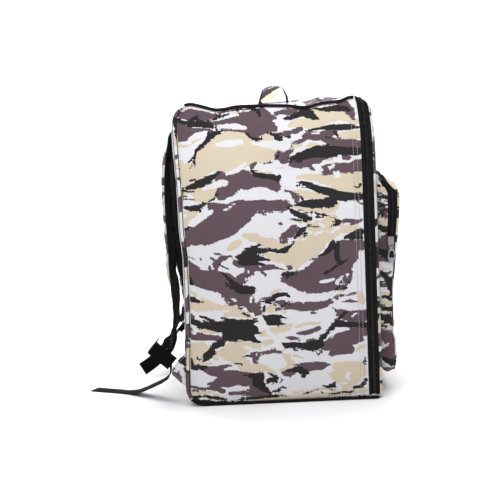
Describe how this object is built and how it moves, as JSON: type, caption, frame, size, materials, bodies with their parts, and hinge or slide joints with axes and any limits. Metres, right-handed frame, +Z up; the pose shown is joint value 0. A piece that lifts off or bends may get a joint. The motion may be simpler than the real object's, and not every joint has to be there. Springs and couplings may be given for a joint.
{
  "type": "board game backpack",
  "caption": "Large box-shaped soft backpack in striped camouflage cloth, with a U-shaped front zip, a front pocket, padded shoulder straps, loose webbing and a top handle.",
  "frame": {"origin": "centre of the flat base, on the floor it stands on", "axes": "+Z up, -Y toward the front with the zip and pocket, +Y toward the shoulder straps, X across the width"},
  "size_m": [0.3506, 0.5558, 0.537],
  "materials": {
    "camo_cloth": "matte woven polyester printed with tiger-stripe camouflage",
    "black_webbing": "black ribbed webbing and zip tape",
    "black_mesh": "black air mesh over foam",
    "black_plastic": "black moulded plastic",
    "silver_metal": "bright cast zip metal"
  },
  "bodies": {
    "bag": {"body_shell": "camo_cloth", "front_panel": "camo_cloth", "main_zip_band": "black_webbing", "main_zip_slider": "silver_metal", "side_piping_left": "black_webbing", "side_piping_right": "black_webbing", "pocket_gusset": "camo_cloth", "pocket_face": "camo_cloth", "pocket_zip_band": "black_webbing", "pocket_zip_slider": "silver_metal", "back_pad": "black_mesh", "shoulder_strap_left": "black_mesh", "shoulder_strap_right": "black_mesh", "strap_loop_left": "black_webbing", "strap_loop_right": "black_webbing", "buckle_left": "black_plastic", "buckle_right": "black_plastic", "adjuster_left": "black_webbing", "adjuster_right": "black_webbing", "anchor_left": "black_webbing", "anchor_right": "black_webbing", "gusset_left": "camo_cloth", "gusset_right": "camo_cloth", "top_handle": "camo_cloth"},
    "pull": {"pocket_zip_pull": "silver_metal", "pocket_pull_insert": "black_plastic"}
  },
  "joints": [
    {"name": "pocket_pull_hinge", "type": "hinge", "parent": "bag", "child": "pull", "pos_m": [-0.1402, -0.1893, 0.25], "axis": [0, 1, 0], "range_deg": [0, 120]}
  ]
}
